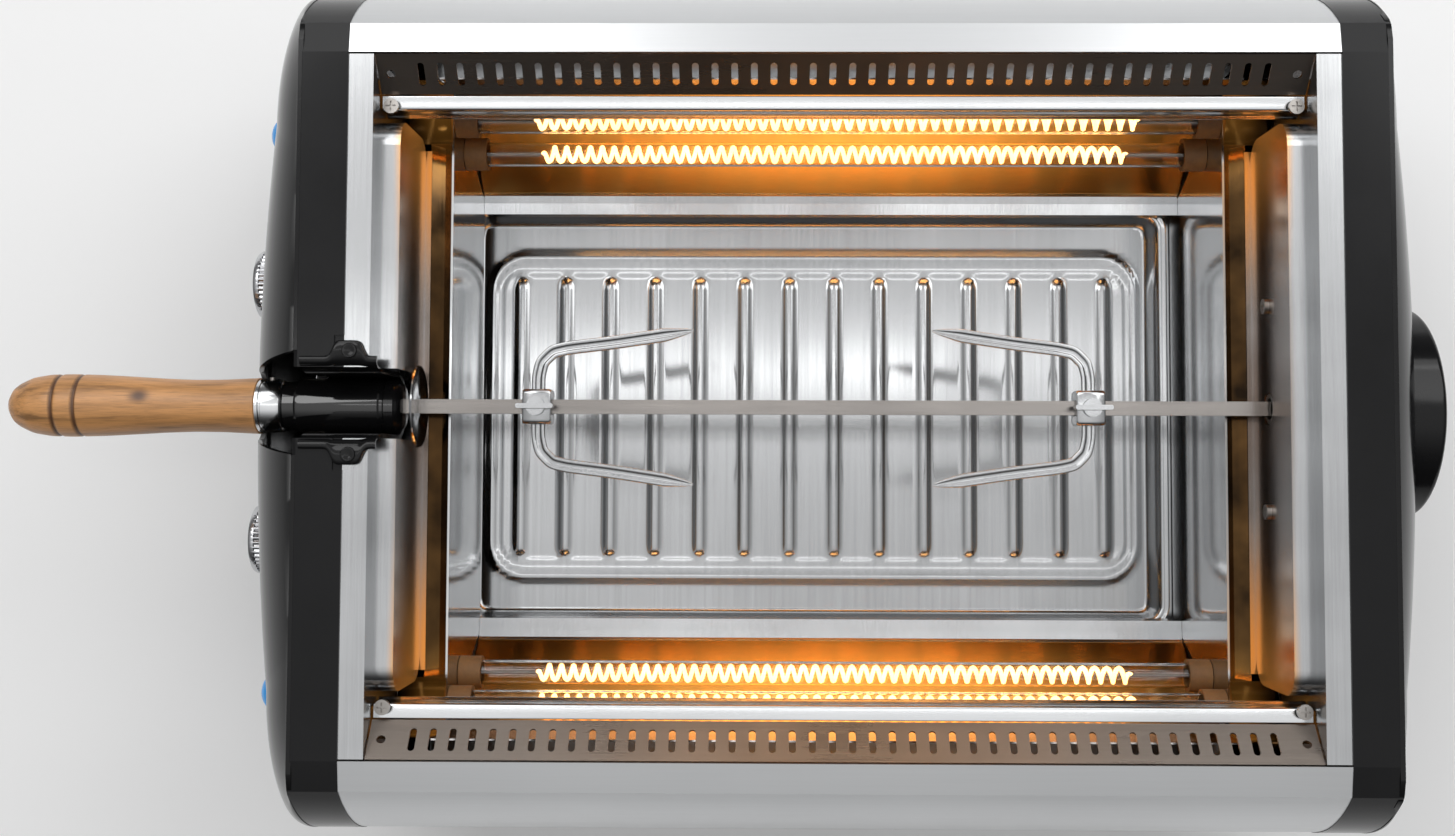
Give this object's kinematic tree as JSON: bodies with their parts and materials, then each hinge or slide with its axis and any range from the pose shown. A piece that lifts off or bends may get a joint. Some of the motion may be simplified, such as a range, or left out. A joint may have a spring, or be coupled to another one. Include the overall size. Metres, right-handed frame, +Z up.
{
  "type": "rotisserie oven",
  "caption": "Open-top countertop rotisserie oven with a motor-driven spit, two meat forks, side quartz heaters, a slide-out drip tray and two control knobs.",
  "frame": {"origin": "under the middle of the whole object's box, on the surface it stands on", "axes": "+X along the spit towards the drive end, +Y to the rear, +Z up"},
  "size_m": [0.6574, 0.3896, 0.22],
  "materials": {
    "base_pan": "brushed",
    "bracket_screws": "plain",
    "ceramic_holders": "unglazed ceramic",
    "cord_gland": "glossy black",
    "cover_screws": "plain",
    "drip_tray": "brushed",
    "drive_gear": "machined",
    "drive_socket": "plain",
    "ferrule_pin": "polished",
    "front_heating_coils": "glowing hot",
    "front_quartz_tubes": "clear",
    "front_rail": "brushed",
    "front_reflector": "mirror-like, warm with use",
    "front_shell": "brushed",
    "front_vent_panel": "brushed",
    "gear_motor": "plain",
    "handle_ferrule": "polished",
    "heat_disc": "polished",
    "heat_knob": "satin silver",
    "heat_shaft": "plain",
    "lamp_holders": "matt",
    "left_end_cover": "glossy black",
    "left_end_frame": "satin black",
    "left_fork": "plain",
    "left_lower_wall": "polished",
    "left_side_liner": "brushed",
    "left_thumbscrew": "plain",
    "motor_bracket": "brushed",
    "motor_cap": "glossy black",
    "motor_pinion": "machined",
    "pilot_lenses": "translucent blue",
    "rail_screws": "plain",
    "rear_heating_coils": "glowing hot",
    "rear_quartz_tubes": "clear",
    "rear_rail": "brushed",
    "rear_reflector": "mirror-like, warm with use",
    "rear_shell": "brushed",
    "rear_vent_panel": "brushed",
    "right_end_cover": "glossy black",
    "right_end_frame": "satin black",
    "right_fork": "plain",
    "right_lower_wall": "polished",
    "right_side_liner": "brushed",
    "right_thumbscrew": "plain",
    "rubber_feet": "matt",
    "saddle_screws": "plain",
    "spit_bush": "plain",
    "spit_journal": "glossy black",
    "spit_rod": "plain",
    "spit_saddle": "glossy black",
    "terminal_block": "moulded",
    "thermostat_unit": "moulded",
    "timer_knob": "satin silver",
    "timer_shaft": "plain",
    "timer_unit": "moulded",
    "tray_handle": "glossy black",
    "tray_runners": "brushed",
    "wood_handle": "varnished oak"
  },
  "bodies": {
    "oven": {"base_pan": "base_pan", "bracket_screws": "bracket_screws", "ceramic_holders": "ceramic_holders", "cord_gland": "cord_gland", "cover_screws": "cover_screws", "front_heating_coils": "front_heating_coils", "front_quartz_tubes": "front_quartz_tubes", "front_rail": "front_rail", "front_reflector": "front_reflector", "front_shell": "front_shell", "front_vent_panel": "front_vent_panel", "gear_motor": "gear_motor", "lamp_holders": "lamp_holders", "left_end_cover": "left_end_cover", "left_end_frame": "left_end_frame", "left_lower_wall": "left_lower_wall", "left_side_liner": "left_side_liner", "motor_bracket": "motor_bracket", "motor_cap": "motor_cap", "pilot_lenses": "pilot_lenses", "rail_screws": "rail_screws", "rear_heating_coils": "rear_heating_coils", "rear_quartz_tubes": "rear_quartz_tubes", "rear_rail": "rear_rail", "rear_reflector": "rear_reflector", "rear_shell": "rear_shell", "rear_vent_panel": "rear_vent_panel", "right_end_cover": "right_end_cover", "right_end_frame": "right_end_frame", "right_lower_wall": "right_lower_wall", "right_side_liner": "right_side_liner", "rubber_feet": "rubber_feet", "saddle_screws": "saddle_screws", "spit_saddle": "spit_saddle", "terminal_block": "terminal_block", "thermostat_unit": "thermostat_unit", "timer_unit": "timer_unit", "tray_runners": "tray_runners"},
    "tray": {"drip_tray": "drip_tray", "tray_handle": "tray_handle"},
    "bush": {"spit_bush": "spit_bush"},
    "spit": {"spit_rod": "spit_rod", "spit_journal": "spit_journal", "heat_disc": "heat_disc", "handle_ferrule": "handle_ferrule", "ferrule_pin": "ferrule_pin", "wood_handle": "wood_handle"},
    "drive": {"drive_socket": "drive_socket", "drive_gear": "drive_gear"},
    "pinion": {"motor_pinion": "motor_pinion"},
    "fork_left": {"left_fork": "left_fork"},
    "fork_right": {"right_fork": "right_fork"},
    "screw_left": {"left_thumbscrew": "left_thumbscrew"},
    "screw_right": {"right_thumbscrew": "right_thumbscrew"},
    "timer_control": {"timer_knob": "timer_knob", "timer_shaft": "timer_shaft"},
    "heat_control": {"heat_knob": "heat_knob", "heat_shaft": "heat_shaft"}
  },
  "joints": [
    {"name": "tray_slide", "type": "slide", "parent": "oven", "child": "tray", "axis": [-1, 0, 0], "range_m": [0, 0.36]},
    {"name": "spit_lift", "type": "hinge", "parent": "oven", "child": "bush", "pos_m": [0.2513, 0, 0.173], "axis": [0, 1, 0], "range_deg": [0, 8]},
    {"name": "spit_spin", "type": "hinge", "parent": "bush", "child": "spit", "pos_m": [0.2513, 0, 0.173], "axis": [1, 0, 0], "continuous": true},
    {"name": "drive_spin", "type": "hinge", "parent": "oven", "child": "drive", "pos_m": [0.2703, 0, 0.173], "axis": [1, 0, 0], "continuous": true},
    {"name": "pinion_spin", "type": "hinge", "parent": "oven", "child": "pinion", "pos_m": [0.2703, 0, 0.1295], "axis": [1, 0, 0], "continuous": true},
    {"name": "left_fork_slide", "type": "slide", "parent": "spit", "child": "fork_left", "axis": [1, 0, 0], "range_m": [-0.04, 0.04]},
    {"name": "right_fork_slide", "type": "slide", "parent": "spit", "child": "fork_right", "axis": [1, 0, 0], "range_m": [-0.05, 0.05]},
    {"name": "left_screw_turn", "type": "hinge", "parent": "fork_left", "child": "screw_left", "pos_m": [-0.0847, 0, 0.18], "axis": [0, 0, 1], "range_deg": [0, 360]},
    {"name": "right_screw_turn", "type": "hinge", "parent": "fork_right", "child": "screw_right", "pos_m": [0.1673, 0, 0.18], "axis": [0, 0, 1], "range_deg": [0, 360]},
    {"name": "timer_turn", "type": "hinge", "parent": "oven", "child": "timer_control", "pos_m": [-0.2317, -0.064, 0.101], "axis": [-1, 0, 0], "range_deg": [-300, 0]},
    {"name": "heat_turn", "type": "hinge", "parent": "oven", "child": "heat_control", "pos_m": [-0.2317, 0.064, 0.101], "axis": [-1, 0, 0], "range_deg": [-270, 0]}
  ],
  "couplings": [
    {"joint": "spit_spin", "follows": "drive_spin", "ratio": 1},
    {"joint": "pinion_spin", "follows": "drive_spin", "ratio": -2.4118}
  ]
}
